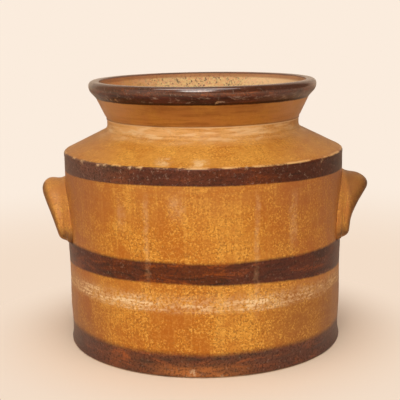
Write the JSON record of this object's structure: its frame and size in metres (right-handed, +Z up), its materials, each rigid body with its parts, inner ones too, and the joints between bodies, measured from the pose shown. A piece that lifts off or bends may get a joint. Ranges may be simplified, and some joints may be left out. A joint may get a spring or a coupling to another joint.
{
  "type": "ceramic crock fermenter",
  "caption": "Wide-mouthed stoneware fermenting crock with a sloping shoulder, flared rolled rim, horseshoe lug handles and half-moon weight stones inside.",
  "frame": {"origin": "middle of the foot, on the surface that the crock stands on", "axes": "+Z up along the jar's axis, +X towards the right-hand lug, +Y towards the back"},
  "size_m": [0.3785, 0.3201, 0.3],
  "materials": {
    "glazed_stoneware": "honey brown salt glaze with dark iron bands, orange-peel gloss",
    "bare_stoneware": "unglazed fired clay, matt"
  },
  "bodies": {
    "crock": {"crock_body": "glazed_stoneware", "lug_handle_left": "glazed_stoneware", "lug_handle_right": "glazed_stoneware"},
    "stone_front": {"weight_stone_front": "bare_stoneware"},
    "stone_back": {"weight_stone_back": "bare_stoneware"}
  },
  "joints": [
    {"name": "stone_front_lift", "type": "slide", "parent": "crock", "child": "stone_front", "axis": [0, 0, 1], "range_m": [0, 0.31]},
    {"name": "stone_back_lift", "type": "slide", "parent": "crock", "child": "stone_back", "axis": [0, 0, 1], "range_m": [0, 0.31]}
  ]
}
